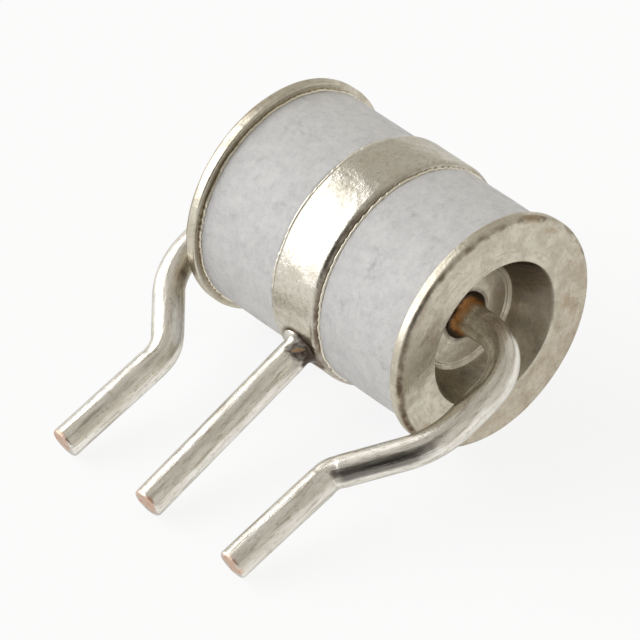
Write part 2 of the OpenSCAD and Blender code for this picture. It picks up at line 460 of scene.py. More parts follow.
class Effect(ABC):
    """A node group that several finishes share, built once when it is first asked for."""

    KINDS = {"Vector": "NodeSocketVector", "Color": "NodeSocketColor", "Float": "NodeSocketFloat"}
    name: str
    inputs: dict[str, str]
    outputs: dict[str, str]

    @classmethod
    def tree(cls) -> bpy.types.NodeTree:
        """The group with its sockets and nodes.

        Returns:
            The group's node tree, the same one each time.
        """
        if cls.name in bpy.data.node_groups:
            return bpy.data.node_groups[cls.name]
        tree = bpy.data.node_groups.new(cls.name, "ShaderNodeTree")
        for side, sockets in (("INPUT", cls.inputs), ("OUTPUT", cls.outputs)):
            for label, kind in sockets.items():
                tree.interface.new_socket(name=label, in_out=side, socket_type=cls.KINDS[kind])
        sheet = Sheet(tree)
        cls.draw(sheet, tree.nodes.new("NodeGroupInput").outputs, tree.nodes.new("NodeGroupOutput").inputs)
        return tree

    @staticmethod
    @abstractmethod
    def draw(sheet: Sheet, given: Any, out: Any) -> None:
        """Draws the group's nodes.

        Args:
            sheet: Sheet of the group.
            given: The group's inputs, by name.
            out: The group's outputs, by name.
        """


class Mottling(Effect):
    """Cloudy change between three tones, as on plating, tin and fired ceramic."""

    name = "Mottling"
    inputs = {"Vector": "Vector", "Patches": "Float", "Light": "Color", "Dark": "Color", "Drift": "Color"}
    outputs = {"Color": "Color", "Mask": "Float"}

    @staticmethod
    def draw(sheet: Sheet, given: Any, out: Any) -> None:
        """Draws coarse patches of light and dark under a finer drift; see Effect.draw."""
        coarse = sheet.noise(given["Vector"], given["Patches"], detail=5, rough=0.62, twist=0.4)
        fine = sheet.noise(given["Vector"], sheet.times(given["Patches"], 4.3), detail=3, rough=0.6)
        mask = sheet.spread(coarse, 0.36, 0.64)
        drifting = sheet.spread(fine, 0.46, 0.72)
        colour = sheet.coat(given["Light"], (mask, given["Dark"]), (drifting, given["Drift"]))
        sheet.feed(out["Color"], colour)
        sheet.feed(out["Mask"], mask)


class DrawnLines(Effect):
    """Fine lines along a stretched vector, as drawing, rolling and brushing leave them."""

    name = "Drawn lines"
    inputs = {"Vector": "Vector"}
    outputs = {"Mask": "Float", "Height": "Float"}

    @staticmethod
    def draw(sheet: Sheet, given: Any, out: Any) -> None:
        """Draws one stretched field, and its crests as a mask; see Effect.draw."""
        field = sheet.noise(given["Vector"], 1.0, detail=4, rough=0.6, twist=0.25)
        sheet.feed(out["Mask"], sheet.spread(field, 0.5, 0.72))
        sheet.feed(out["Height"], field)


class Smudges(Effect):
    """Sparse specks and rubbed marks."""

    name = "Smudges"
    inputs = {"Vector": "Vector", "Scale": "Float"}
    outputs = {"Mask": "Float"}

    @staticmethod
    def draw(sheet: Sheet, given: Any, out: Any) -> None:
        """Draws the crests of a broad field and a small one together; see Effect.draw."""
        broad = sheet.noise(given["Vector"], given["Scale"], detail=2, rough=0.5, twist=0.9)
        small = sheet.noise(given["Vector"], sheet.times(given["Scale"], 5.5), detail=3, rough=0.6)
        both = sheet.add(sheet.times(broad, 0.65), sheet.times(small, 0.35))
        sheet.feed(out["Mask"], sheet.spread(both, 0.54, 0.78))


class Grain(Effect):
    """Fine all-over grain of a fired, cast or plated skin."""

    name = "Grain"
    inputs = {"Vector": "Vector", "Scale": "Float"}
    outputs = {"Height": "Float"}

    @staticmethod
    def draw(sheet: Sheet, given: Any, out: Any) -> None:
        """Draws one rough field; see Effect.draw."""
        sheet.feed(out["Height"], sheet.noise(given["Vector"], given["Scale"], detail=4, rough=0.7))


class HeatTint(Effect):
    """Colours that a weld leaves: straw, copper, brown, then soot, from the cool edge in."""

    name = "Heat tint"
    inputs = {"Vector": "Vector", "Heat": "Float"}
    outputs = {"Color": "Color", "Mask": "Float"}
    TONES = (
        (0.0, (0.60, 0.53, 0.41)), (0.3, (0.54, 0.39, 0.24)), (0.54, (0.56, 0.27, 0.10)),
        (0.78, (0.13, 0.08, 0.05)), (0.95, (0.06, 0.045, 0.03)))

    @staticmethod
    def draw(sheet: Sheet, given: Any, out: Any) -> None:
        """Draws a ramp of tones over the uneven heat; see Effect.draw."""
        field = sheet.noise(given["Vector"], 3.2, detail=4, rough=0.6, twist=0.6)
        uneven = sheet.spread(field, 0.2, 0.8, to_low=-0.1, to_high=0.1)
        heat = sheet.times(sheet.add(given["Heat"], uneven), sheet.spread(given["Heat"], 0.0, 0.15))
        ramp = sheet.node("ValToRGB", {"Fac": heat})
        bands = ramp.color_ramp.elements
        while len(bands) < len(HeatTint.TONES):
            bands.new(0.5)
        for stop, (at, tone) in zip(bands, HeatTint.TONES):
            stop.position, stop.color = at, (*tone, 1)
        sheet.feed(out["Color"], ramp.outputs["Color"])
        sheet.feed(out["Mask"], sheet.spread(heat, 0.05, 0.4))


class GrimeAndShade(Effect):
    """Dark cover laid unevenly over a mask: real deposit, and painted shade and reflections."""

    name = "GrimeAndShade"
    inputs = {"Vector": "Vector", "Crease": "Float"}
    outputs = {"Mask": "Float"}

    @staticmethod
    def draw(sheet: Sheet, given: Any, out: Any) -> None:
        """Draws the mask, thinned by a patchy field; see Effect.draw."""
        field = sheet.noise(given["Vector"], 2.6, detail=4, rough=0.65)
        patchy = sheet.spread(field, 0.3, 0.6, to_low=0.45)
        sheet.feed(out["Mask"], sheet.times(given["Crease"], patchy))


@dataclass(frozen=True)
class Finish(ABC):
    """A finish that becomes one node material, made when it is first asked for.

    Its light, dark and drifting tones lie in clouds, and its roughness goes with them.
    """

    name: str
    light: Colour
    dark: Colour
    drift: Colour
    rough: Span
    patches: float

    def material(self) -> bpy.types.Material:
        """Makes the material, or finds it.

        Returns:
            The finish as a material.
        """
        if self.name in bpy.data.materials:
            return bpy.data.materials[self.name]
        material, sheet = blank_material(self.name)
        shader = sheet.node("BsdfPrincipled", self.paint(sheet))
        sheet.node("OutputMaterial", {"Surface": shader.outputs[0]})
        return material

    @abstractmethod
    def paint(self, sheet: Sheet) -> dict[str, Any]:
        """Draws the finish.

        Args:
            sheet: Sheet of the material.

        Returns:
            Values or sockets for the inputs of its Principled BSDF, by name.
        """

    def clouds(self, sheet: Sheet, place: Socket) -> tuple[Socket, Socket]:
        """Lays out the finish's own clouds.

        Args:
            sheet: Sheet of the material.
            place: Coordinates that the clouds follow.

        Returns:
            Their colour and roughness.
        """
        tone = sheet.effect(Mottling, Vector=place, Patches=self.patches, Light=self.light, Dark=self.dark,
                            Drift=self.drift)
        return tone["Color"], sheet.spread(tone["Mask"], 0, 1, *self.rough)

    @staticmethod
    def patchy_cover(sheet: Sheet, place: Socket, mask: Mask) -> Socket:
        """Patchy cover where the surface carries a mask."""
        return sheet.effect(GrimeAndShade, Vector=place, Crease=sheet.mask(mask))["Mask"]

    @staticmethod
    def grain(sheet: Sheet, place: Socket, scale: float) -> Socket:
        """Height of an all-over grain."""
        return sheet.effect(Grain, Vector=place, Scale=scale)["Height"]


@dataclass(frozen=True)
class NickelPlate(Finish):
    """Satin nickel with cloudy tarnish, brushed lines, specks, stains, dark creases, painted shade and
    painted reflections.
    """

    light: Colour = (0.68, 0.63, 0.515)
    dark: Colour = (0.57, 0.52, 0.41)
    drift: Colour = (0.61, 0.57, 0.485)
    rough: Span = (0.28, 0.42)
    patches: float = 1.5
    # Dark tone of soil in creases and joints, also used for painted shade and painted dark reflections on
    # edges and steps.
    soil_and_shade: Colour = (0.14, 0.092, 0.055)
    soil_and_shade_rough: float = 0.2
    # Rust-brown stains, also used for painted shade along dents and on shaded steps.
    rust_and_shade: Colour = (0.34, 0.24, 0.14)
    rust_and_shade_cover: float = 0.75
    speck: Colour = (0.44, 0.39, 0.30)
    speck_scale: float = 7.0
    speck_rise: Span = (0.49, 0.68)
    speck_cover: float = 0.62
    # Painted shade in the end recesses, and how much of the dimples' depth is kept under it.
    recess_shade_tone: Colour = (0.185, 0.142, 0.102)
    shade_dimples: float = 0.2
    # Painted gold reflections of the lead, streaked over the recess's painted shade.
    wire_reflection: Colour = (0.46, 0.32, 0.165)
    wire_reflection_scale: float = 0.9
    groove: Colour = (0.29, 0.25, 0.19)
    edge: Colour = (0.74, 0.73, 0.70)
    strokes: Span = (0.45, 9.0)
    stroke_cover: float = 0.42
    stroke_depth: float = 0.004
    scratch_rise: Span = (0.55, 0.7)
    scratch: float = 0.3
    dimples: float = 2.6
    dimple_depth: float = 0.02

    def paint(self, sheet: Sheet) -> dict[str, Any]:
        """Paints the plate; see Finish.paint."""
        place = sheet.millimetres()
        colour, rough = self.clouds(sheet, place)
        lines = sheet.effect(DrawnLines, Vector=sheet.unrolled(self.strokes))
        specks = self.grain(sheet, place, self.speck_scale)
        # Streaks of painted gold reflection over the recess's painted shade.
        streaks = sheet.effect(Smudges, Vector=place, Scale=self.wire_reflection_scale)["Mask"]
        soot = sheet.mask(Mask.SOOT)
        soil_and_shade = self.patchy_cover(sheet, place, Mask.CREASE)
        colour = sheet.coat(
            colour,
            (sheet.times(lines["Mask"], self.stroke_cover), self.dark),
            (sheet.spread(specks, *self.speck_rise, 0.0, self.speck_cover), self.speck),
            (sheet.spread(lines["Height"], *self.scratch_rise, 0.0, self.scratch), self.groove),
            # Painted shade in the recess, streaked with painted gold reflections of the lead.
            (soot, sheet.blend(streaks, self.recess_shade_tone, self.wire_reflection)),
            # Stains, and painted shade where the stain mask carries it.
            (sheet.times(self.patchy_cover(sheet, place, Mask.STAIN), self.rust_and_shade_cover), self.rust_and_shade),
            # Soil, and painted shade and painted dark reflections where the crease mask carries them.
            (soil_and_shade, self.soil_and_shade))
        # The dimples are shallower under the painted recess shade.
        depth = sheet.spread(soot, 0, 1, self.dimple_depth, self.shade_dimples * self.dimple_depth)
        height = sheet.add(sheet.times(lines["Height"], self.stroke_depth),
                           sheet.times(self.grain(sheet, place, self.dimples), depth))
        return {
            "Base Color": colour, "Metallic": 1.0, "Specular Tint": self.edge,
            "Roughness": sheet.add(rough, sheet.times(soil_and_shade, self.soil_and_shade_rough)), "Normal": sheet.bump(height)}


@dataclass(frozen=True)
class TinnedCopper(Finish):
    """Bright dipped tin with streaks, bare copper at its cut tip, weld tints at its foot and a painted dark
    reflection.
    """

    light: Colour = (0.93, 0.905, 0.835)
    dark: Colour = (0.74, 0.70, 0.61)
    drift: Colour = (0.85, 0.815, 0.745)
    rough: Span = (0.22, 0.36)
    patches: float = 1.0
    copper: Colour = (0.70, 0.45, 0.32)
    bruise: Colour = (0.42, 0.37, 0.28)
    speck: Colour = (0.38, 0.34, 0.26)
    crust: Colour = (0.09, 0.06, 0.042)
    crust_metal: float = 0.15
    # Tone of a painted dark reflection along the right lead's jog.
    jog_reflection: Colour = (0.13, 0.12, 0.105)
    edge: Colour = (0.66, 0.66, 0.65)
    dull_rough: float = 0.25
    cloud_stretch: Span = (2.4, 0.6)
    line_stretch: Span = (6.5, 1.6)
    line_cover: float = 0.6
    line_depth: float = 0.008
    streak_stretch: Span = (6.5, 0.5)
    streak_cover: float = 0.85
    streak_depth: float = 0.015
    crinkle_stretch: Span = (2.6, 1.0)
    crinkle_scale: float = 1.6
    crinkle_depth: float = 0.006
    fleck_stretch: Span = (7.0, 2.6)
    fleck_rise: Span = (0.53, 0.7)
    fleck_cover: float = 0.65

    def paint(self, sheet: Sheet) -> dict[str, Any]:
        """Paints the wire; see Finish.paint."""
        place = sheet.millimetres()
        colour, rough = self.clouds(sheet, sheet.unrolled(self.cloud_stretch))
        lines = sheet.effect(DrawnLines, Vector=sheet.unrolled(self.line_stretch))
        streaks = sheet.effect(DrawnLines, Vector=sheet.unrolled(self.streak_stretch))
        crinkles = self.grain(sheet, sheet.unrolled(self.crinkle_stretch), self.crinkle_scale)
        flecks = self.grain(sheet, sheet.unrolled(self.fleck_stretch), 1.0)
        burnt = self.patchy_cover(sheet, place, Mask.SOOT)
        bare = sheet.mask(Mask.COPPER)
        weld = sheet.effect(HeatTint, Vector=place, Heat=sheet.mask(Mask.HEAT))
        colour = sheet.coat(
            colour,
            (sheet.times(lines["Mask"], self.line_cover), self.dark),
            (sheet.times(streaks["Mask"], self.streak_cover), self.speck),
            (sheet.spread(flecks, *self.fleck_rise, 0.0, self.fleck_cover), self.speck),
            (self.patchy_cover(sheet, place, Mask.CREASE), self.bruise),
            # Painted dark reflection along the right lead's jog.
            (sheet.mask(Mask.STAIN), self.jog_reflection),
            (burnt, self.crust),
            (bare, self.copper),
            (weld["Mask"], weld["Color"]))
        height = sheet.add(sheet.times(lines["Height"], self.line_depth),
                           sheet.times(crinkles, self.crinkle_depth))
        height = sheet.add(height, sheet.times(streaks["Height"], self.streak_depth))
        return {
            "Base Color": colour, "Metallic": sheet.spread(burnt, 0, 1, 1.0, self.crust_metal),
            "Specular Tint": self.edge, "Normal": sheet.bump(height),
            "Roughness": sheet.add(rough, sheet.times(sheet.add(bare, burnt), self.dull_rough))}


@dataclass(frozen=True)
class FiredAlumina(Finish):
    """Matte white ceramic with a faint cloud of tints, specks, rubbed grey marks and a fine grain."""

    light: Colour = (0.735, 0.73, 0.71)
    dark: Colour = (0.67, 0.667, 0.655)
    drift: Colour = (0.715, 0.70, 0.71)
    rough: Span = (0.5, 0.62)
    patches: float = 1.8
    mark: Colour = (0.36, 0.355, 0.36)
    speck_scale: float = 4.5
    speck_rise: Span = (0.42, 0.68)
    speck_cover: float = 0.2
    rub_scale: float = 1.25
    rub_cover: float = 0.5
    soil_cover: float = 0.4
    shine: float = 0.4
    grain_scale: float = 14.0
    grain_depth: float = 0.018

    def paint(self, sheet: Sheet) -> dict[str, Any]:
        """Paints the ceramic; see Finish.paint."""
        place = sheet.millimetres()
        colour, rough = self.clouds(sheet, place)
        specks = self.grain(sheet, place, self.speck_scale)
        rubbed = sheet.effect(Smudges, Vector=place, Scale=self.rub_scale)["Mask"]
        colour = sheet.coat(
            colour,
            (sheet.spread(specks, *self.speck_rise, 0.0, self.speck_cover), self.mark),
            (sheet.times(rubbed, self.rub_cover), self.mark),
            (sheet.times(self.patchy_cover(sheet, place, Mask.CREASE), self.soil_cover), self.mark))
        normal = sheet.bump(self.grain(sheet, place, self.grain_scale), self.grain_depth)
        return {"Base Color": colour, "Specular IOR Level": self.shine, "Roughness": rough, "Normal": normal}


@dataclass(frozen=True)
class SilverBraze(Finish):
    """Bright pebbled braze with yellow and grey patches."""

    light: Colour = (0.88, 0.84, 0.72)
    dark: Colour = (0.60, 0.52, 0.38)
    drift: Colour = (0.80, 0.74, 0.58)
    rough: Span = (0.14, 0.3)
    patches: float = 2.4
    soil_and_shade: Colour = (0.26, 0.20, 0.135)
    grain_scale: float = 6.0
    grain_depth: float = 0.02

    def paint(self, sheet: Sheet) -> dict[str, Any]:
        """Paints the braze; see Finish.paint."""
        place = sheet.millimetres()
        colour, rough = self.clouds(sheet, place)
        colour = sheet.blend(self.patchy_cover(sheet, place, Mask.CREASE), colour, self.soil_and_shade)
        normal = sheet.bump(self.grain(sheet, place, self.grain_scale), self.grain_depth)
        return {"Base Color": colour, "Metallic": 1.0, "Roughness": rough, "Normal": normal}


@dataclass(frozen=True)
class DryLayer(Finish):
    """Matte grainy layer laid inside the tube: activating salt, unless other tones are given."""

    light: Colour = (0.80, 0.77, 0.70)
    dark: Colour = (0.66, 0.63, 0.56)
    drift: Colour = (0.80, 0.77, 0.70)
    rough: Span = (0.75, 0.95)
    patches: float = 3.5
    grain_scale: float = 11.0
    grain_depth: float = 0.03

    def paint(self, sheet: Sheet) -> dict[str, Any]:
        """Paints the layer; see Finish.paint."""
        place = sheet.millimetres()
        colour, rough = self.clouds(sheet, place)
        normal = sheet.bump(self.grain(sheet, place, self.grain_scale), self.grain_depth)
        return {"Base Color": colour, "Roughness": rough, "Normal": normal}


@dataclass
class Piece(ABC):
    """One piece of the tube: its surface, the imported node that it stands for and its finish."""

    node: str
    slot: Slot
    finish: Finish

    @abstractmethod
    def surface(self) -> Surface:
        """The piece's surface in tube millimetres."""

    def build(self, rest: RestFrame) -> bpy.types.Object:
        """Makes the piece and lets it stand for its node.

        Args:
            rest: Where the tube lies.

        Returns:
            The dressed piece.
        """
        mesh = self.surface().mesh(self.node + "_skin", rest)
        mesh.materials.append(self.finish.material())
        piece = put(mesh.name, mesh)
        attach(piece, BODY)
        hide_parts(self.node)
        LOG.info("%s: %d faces, %s", piece.name, len(mesh.polygons), self.finish.name)
        return piece


@dataclass
class Turned(Piece):
    """A piece turned about the tube's axis from a rounded profile."""

    columns: int = 288
    spacing: float = 0.1

    def revolve(self, corners: list[Corner], closed: bool) -> tuple[Array, Array, Array, Array, Array]:
        """Grid of a turned profile.

        Formula: the profile gives radius and distance along the axis row by row, and the columns are equal
        angles.

        Args:
            corners: Profile corners as (radius, distance along the axis, rounding).
            closed: Whether the profile is the whole section of a ring.

        Returns:
            Angle, radius and distance along the axis as grids, then map coordinates round and along the
            surface.
        """
        line = rounded_path(corners, self.spacing, closed)
        angle = np.linspace(0, TURN, self.columns, endpoint=False)[None, :]
        radius = np.repeat(line[:, :1], self.columns, 1)
        axial = np.repeat(line[:, 1:], self.columns, 1)
        reach = run_length(np.concatenate([line, line[:1]]) if closed else line)
        around = np.linspace(0, TURN, self.columns + 1) * line[:, 0].max()
        return angle, radius, axial, around, reach

    @staticmethod
    def grid(angle: Array, radius: Array, axial: Array) -> Array:
        """Points of a turned surface: axial distance along X, and radius times cosine and sine across it."""
        return np.stack(np.broadcast_arrays(axial, radius * np.cos(angle), radius * np.sin(angle)), -1)


@dataclass
class EndElectrode(Turned):
    """Flanged end cap: recessed outside, drawn into a blunt nose with a bed for the coating inside."""

    end: End = End.RIGHT
    half_length: float = 5.0
    flange_r: float = 4.0
    flange_t: float = 0.46
    flange_edge: float = 0.2
    flange_back_edge: float = 0.06
    mouth_r: float = 2.5
    mouth_edge: float = 0.08
    mouth_fade: float = 0.3
    floor_r: float = 1.8
    recess_depth: float = 1.35
    floor_step: Span = (0.12, 0.035)
    step_edges: tuple[float, float, float] = (0.035, 0.02, 0.04)
    neck_r: float = 2.65
    nose_r: float = 2.1
    nose_edge: float = 0.3
    nose_face: float = 1.7
    bed_r: float = 1.42
    bed_depth: float = 0.2
    rim_wave: float = 0.014
    face_wave: float = 0.012
    # Weld soot round the lead's foot on the recess floor, with painted shade at the foot's base.
    weld_r: Span = (0.98, 0.84)
    weld_soot_and_shade: float = 0.7
    # Painted dark reflection along the flange's rounded front edge, strongest over the lower arc and broken
    # up above.
    edge_dark_reflection: float = 0.95
    lower_arc: Arc = ((1.75, 2.75), (3.5, 4.2))
    upper_turn: float = 0.9
    # Painted shade on the back step over its shaded arc.
    shaded_arc: Arc = ((1.3, 2.2), (3.6, 4.2))
    step_shade: float = 0.15
    step_shade_tint: float = 0.45
    patch_stain: float = 0.5
    # The face is made darker towards one side.
    darker_side_turn: float = -1.2
    darker_side_share: float = 0.45
    # Painted shade in the recess, darkest on the side away from the leads.
    shade_turn: float = 0.3
    wall_shade: Span = (0.5, 0.32)
    floor_shade: float = 0.5
    seed: int = 11

    def profile(self) -> list[Corner]:
        """Profile of the cap.

        Returns:
            Corners from the middle of the recess floor, out over the flange and in to the bed's middle.
        """
        floor = self.half_length - self.recess_depth
        back = self.half_length - self.flange_t
        bed = self.nose_face + self.bed_depth
        wall = (self.mouth_r - self.floor_r) / self.recess_depth
        inset, rise = self.floor_step
        foot_edge, crest_edge, wall_edge = self.step_edges
        return [
            (0, floor, 0), (self.floor_r - inset, floor, foot_edge),
            (self.floor_r - 0.7 * inset, floor + rise, crest_edge),
            (self.floor_r - 0.35 * inset, floor + rise, crest_edge),
            (self.floor_r + wall * rise * 3, floor + rise * 3, wall_edge),
            (self.mouth_r, self.half_length, self.mouth_edge),
            (self.flange_r, self.half_length, self.flange_edge),
            (self.flange_r, back, self.flange_back_edge), (self.neck_r, back, 0),
            (self.nose_r, self.nose_face, self.nose_edge),
            (self.bed_r, self.nose_face, 0), (self.bed_r, bed, 0), (0, bed, 0)]

    def surface(self) -> Surface:
        """Turned cap whose rim and face are slightly uneven, as stamping leaves them.

        Formula: a share of ripples is taken from the radius near the rim, and from the axial distance on the
        face.

        Returns:
            The cap, from pole to pole.
        """
        angle, radius, axial, around, along = self.revolve(self.profile(), False)
        on_rim = smooth(self.mouth_r + self.mouth_fade, self.flange_r, radius)
        on_face = smooth(self.half_length - 0.03, self.half_length, axial)
        on_face = on_face * smooth(self.mouth_r, self.mouth_r + self.mouth_fade, radius)
        wave = ripple(angle, radius, (1, 9), 2.5, self.seed)
        fine = ripple(angle, radius, (14, 40), 1.0, self.seed + 1)
        radius = radius - on_rim * self.rim_wave * (0.5 + 0.35 * wave + 0.15 * fine).clip(0, 1)
        face = ripple(angle, radius, (1, 6), 2.0, self.seed + 2)
        axial = axial - on_face * self.face_wave * (0.5 + 0.4 * face).clip(0, 1)
        masks = self.wear(angle, radius, axial, on_face)
        return Surface(self.grid(angle, radius, self.end.value * axial), around, along, masks, False)

    def wear(self, angle: Array, radius: Array, axial: Array, on_face: Array) -> dict[Mask, Array]:
        """Painted shade and dark reflections on the edge, recess and back step, weld soot, a darker side and
        stains.

        Formula: each mark is a product of smooth steps in radius, axial distance and angle, and ripples break
        it up.

        Args:
            angle: Angle round the tube.
            radius: Distance from the axis.
            axial: Distance along the axis from the tube's middle.
            on_face: 1 on the flange's outer face and 0 off it.

        Returns:
            The masks of the cap.
        """
        floor = self.half_length - self.recess_depth
        rise = self.floor_step[1]
        patches = ripple(angle, radius, (2, 12), 1.4, self.seed + 3)
        open_side = (np.arange(len(radius)) <= radius.mean(1).argmax())[:, None]
        # Painted dark reflection along the flange's rounded front edge.
        edge = self.flange_edge
        corner = smooth(self.half_length - edge, self.half_length - 0.4 * edge, axial)
        corner = corner * smooth(self.flange_r - 1.1 * edge, self.flange_r - 0.5 * edge, radius)
        broken = smooth(-0.1, 0.6, ripple(angle, radius, (9, 44), 0.5, self.seed + 4))
        broken = broken * smooth(0.2, 0.7, np.cos(angle - self.upper_turn))
        corner = corner * (0.1 + 0.9 * band(*self.lower_arc, angle) + 0.6 * broken)
        edge_band = smooth(self.flange_r - 0.75, self.flange_r - 0.1, radius) * open_side
        # Painted shade on the recess's wall and floor, darkest on the side away from the leads.
        up_wall = smooth(floor + 2 * rise, floor + 4 * rise, axial)
        up_wall = up_wall * smooth(self.mouth_r + 0.05, self.mouth_r - 0.06, radius)
        above = np.cos(angle - self.shade_turn)
        on_floor = smooth(floor + 4 * rise, floor + 2 * rise, axial) * smooth(0.8, 0.8 * self.floor_r, radius)
        # Painted shade on the back step over its shaded arc.
        step = ~open_side * smooth(self.flange_r - 0.06, self.flange_r - 0.13, radius)
        step = step * (radius > self.neck_r)
        shaded = band(*self.shaded_arc, angle)
        # The face is made darker towards one side.
        darker_side = self.darker_side_share * on_face * open_side * smooth(-0.2, 0.9, np.cos(angle - self.darker_side_turn))
        stains = edge_band * smooth(0.15, 0.9, patches)
        stains = stains + self.patch_stain * open_side * smooth(0.55, 1.1, patches)
        # The front edge's painted dark reflection, and weld soot with painted shade round the lead's foot.
        darkened = self.edge_dark_reflection * corner + self.weld_soot_and_shade * smooth(*self.weld_r, radius)
        recess_shade = up_wall * (self.wall_shade[0] + self.wall_shade[1] * above)
        recess_shade = recess_shade + self.floor_shade * on_floor * smooth(-0.2, 0.8, above)
        return {
            Mask.CREASE: open_side * darkened + self.step_shade * step * shaded,
            Mask.SOOT: open_side * recess_shade,
            Mask.STAIN: stains + darker_side + self.step_shade_tint * step * shaded}


@dataclass
class CentreElectrode(Turned):
    """Plated ring between the sleeves, narrowed to a rounded throat inside."""

    ring_r: float = 3.925
    half_width: float = 1.0
    ring_edge: float = 0.2
    bore_r: float = 2.9
    throat_r: float = 1.9
    throat_half_width: float = 0.6
    throat_edge: float = 0.25
    bead_r: float = 3.8
    foot_x: float = 0.085
    hammered: float = 0.016
    scar_x: float = 0.13
    scar_r: Span = (0.97, 0.85)
    # A dent line above the foot, darkened along its length with painted shade.
    dent_r: float = 1.2
    dent_width: float = 0.07
    dent_stretch: float = 0.55
    dent_depth: float = 0.02
    dent_shade: float = 0.35
    # Painted shade at the ring's steps, heavier over the shaded arc.
    shaded_arc: Arc = ((1.05, 1.9), (3.05, 3.35))
    step_shade: Span = (0.3, 0.52)
    seed: int = 31

    def surface(self) -> Surface:
        """Turned ring, hammered outside, with a weld scar, a dent line and painted shade at dent and steps.

        Formula: a share of ripples is taken from the radius outside, and so is a bell curve across an arc
        round the foot.

        Returns:
            The ring, closed round its section.
        """
        corners = [
            (self.throat_r, -self.throat_half_width, self.throat_edge), (self.bore_r, -self.half_width, 0),
            (self.ring_r, -self.half_width, self.ring_edge), (self.ring_r, self.half_width, self.ring_edge),
            (self.bore_r, self.half_width, 0), (self.throat_r, self.throat_half_width, self.throat_edge)]
        angle, radius, axial, around, along = self.revolve(corners, True)
        outer = smooth(self.bead_r, self.ring_r, radius)
        blows = ripple(angle, axial, (8, 34), 1.3, self.seed)
        hammer = 0.6 * blows + 0.4 * ripple(angle, axial, (2, 7), 3.0, self.seed + 1)
        from_foot = (angle - math.pi) * self.ring_r
        across = axial - self.foot_x
        scar = smooth(*self.scar_r, np.hypot(from_foot, across - self.scar_x)) * outer
        # Painted shade at the ring's steps, heavier over the shaded arc.
        step = smooth(self.ring_r - 0.012, self.ring_r - 0.08, radius) * (radius > self.bore_r - 0.01)
        shaded = band(*self.shaded_arc, angle)
        # Painted shade along the dent line.
        from_dent = np.hypot(from_foot, across * self.dent_stretch) - self.dent_r
        dent = np.exp(-(from_dent / self.dent_width) ** 2) * (np.cos(angle) < 0)
        masks = {
            Mask.CREASE: np.maximum(step * (self.step_shade[0] + self.step_shade[1] * shaded), scar),
            Mask.STAIN: self.dent_shade * dent * outer}
        radius = radius - outer * self.hammered * share(hammer) - outer * self.dent_depth * dent
        return Surface(self.grid(angle, radius, axial), around, along, masks, True)


@dataclass
class CeramicSleeve(Turned):
    """Alumina tube between the ring and an end electrode."""

    end: End = End.RIGHT
    start: float = 1.1
    stop: float = 4.44
    outer_r: float = 3.75
    bore_r: float = 2.9
    edge: float = 0.04
    wave: float = 0.01
    darkened: float = 0.14
    seed: int = 51

    def surface(self) -> Surface:
        """Turned tube with softly broken edges and a faintly uneven outside, soiled next to its joints.

        Formula: a share of ripples is taken from the radius outside.

        Returns:
            The sleeve, closed round its section.
        """
        corners = [(self.bore_r, self.start, 0), (self.outer_r, self.start, self.edge),
                   (self.outer_r, self.stop, self.edge), (self.bore_r, self.stop, 0)]
        angle, radius, axial, around, along = self.revolve(corners, True)
        outer = smooth(self.outer_r - 0.06, self.outer_r, radius)
        radius = radius - outer * self.wave * share(ripple(angle, axial, (1, 9), 3.0, self.seed))
        patches = ripple(angle, axial, (4, 30), 1.0, self.seed + 1)
        ends = smooth(self.darkened, 0.0, np.minimum(axial - self.start, self.stop - axial)) * outer
        masks = {Mask.CREASE: ends * smooth(-0.5, 0.7, patches)}
        return Surface(self.grid(angle, radius, self.end.value * axial), around, along, masks, True)


@dataclass
class BrazeJoint(Turned):
    """Thin braze joint whose pebbled bead shows between metal and ceramic."""

    end: End = End.RIGHT
    start: float = 1.0
    thickness: float = 0.1
    inner_r: float = 2.9
    ceramic_r: float = 3.75
    bead: float = 0.05
    bead_edge: float = 0.045
    bead_fall: float = 0.9
    bead_soil: float = 0.9
    columns: int = 960
    spacing: float = 0.06
    seed: int = 71

    def surface(self) -> Surface:
        """Turned joint whose bead rises and falls round the tube in small drops.

        Formula: most of the bead's height, times a smooth step of ripples round the tube, is taken from the
        radius.

        Returns:
            The joint, closed round its section.
        """
        stop = self.start + self.thickness
        top = self.ceramic_r + self.bead
        corners = [(self.inner_r, self.start, 0), (top, self.start, self.bead_edge),
                   (top, stop, self.bead_edge), (self.inner_r, stop, 0)]
        angle, radius, axial, around, along = self.revolve(corners, True)
        level = np.zeros_like(axial)
        drops = 0.5 * ripple(angle, level, (40, 130), 1.0, self.seed, 40)
        drops = drops + 0.6 * ripple(angle, level, (5, 24), 1.0, self.seed + 1)
        at_bead = smooth(self.ceramic_r - 0.06, self.ceramic_r, radius)
        radius = radius - at_bead * self.bead * self.bead_fall * smooth(0.6, -0.7, drops)
        masks = {Mask.CREASE: self.bead_soil * at_bead * smooth(0.3, -0.2, drops)}
        return Surface(self.grid(angle, radius, self.end.value * axial), around, along, masks, True)


